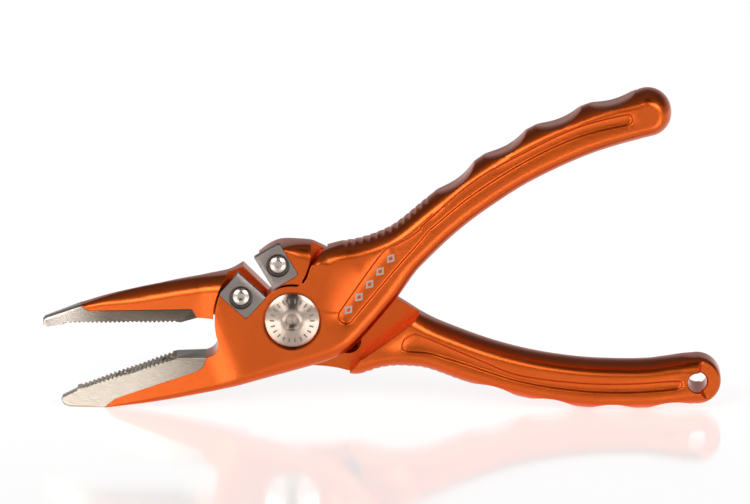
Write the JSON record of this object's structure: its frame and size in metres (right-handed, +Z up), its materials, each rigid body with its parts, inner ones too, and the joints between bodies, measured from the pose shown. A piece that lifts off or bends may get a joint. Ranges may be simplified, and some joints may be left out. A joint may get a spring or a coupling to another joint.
{
  "type": "fishing pliers",
  "caption": "Long-nose fishing pliers in anodised aluminium with steel jaw inserts, carbide line cutters beside the pivot and a lanyard hole, sprung open.",
  "frame": {"origin": "on the pivot axis, midway between the two faces", "axes": "+X from the jaw tips to the handle ends, +Z up with the pliers on edge, the front face with the bolt head looks along -Y"},
  "size_m": [0.1717, 0.0129, 0.0825],
  "materials": {
    "anodised_aluminium": "satin anodised",
    "jaw_steel": "brushed",
    "polished_steel": "polished",
    "turned_steel": "face turned",
    "carbide": "ground satin",
    "bronze": "machined",
    "spring_wire": "drawn"
  },
  "bodies": {
    "rear_half": {"rear_frame": "anodised_aluminium", "upper_jaw_insert": "jaw_steel", "upper_jaw_screw_tip": "polished_steel", "upper_jaw_screw_heel": "polished_steel", "lug_cutter": "carbide", "lug_cutter_screw": "polished_steel", "pivot_bolt": "turned_steel", "pivot_nut": "turned_steel", "nut_washer": "bronze", "thrust_washer": "bronze", "return_spring": "spring_wire"},
    "front_half": {"front_frame": "anodised_aluminium", "lower_jaw_insert": "jaw_steel", "lower_jaw_screw_tip": "polished_steel", "lower_jaw_screw_heel": "polished_steel", "plate_cutter": "carbide", "plate_cutter_screw": "polished_steel", "pivot_bushing": "bronze", "head_washer": "bronze", "spring_post": "polished_steel"}
  },
  "joints": [
    {"name": "jaw_pivot", "type": "hinge", "parent": "rear_half", "child": "front_half", "pos_m": [0, 0, 0], "axis": [0, 1, 0], "range_deg": [0, 17], "stiffness_Nm_per_rad": 0.17, "springref_deg": -10.31, "deforming": ["return_spring"]}
  ]
}
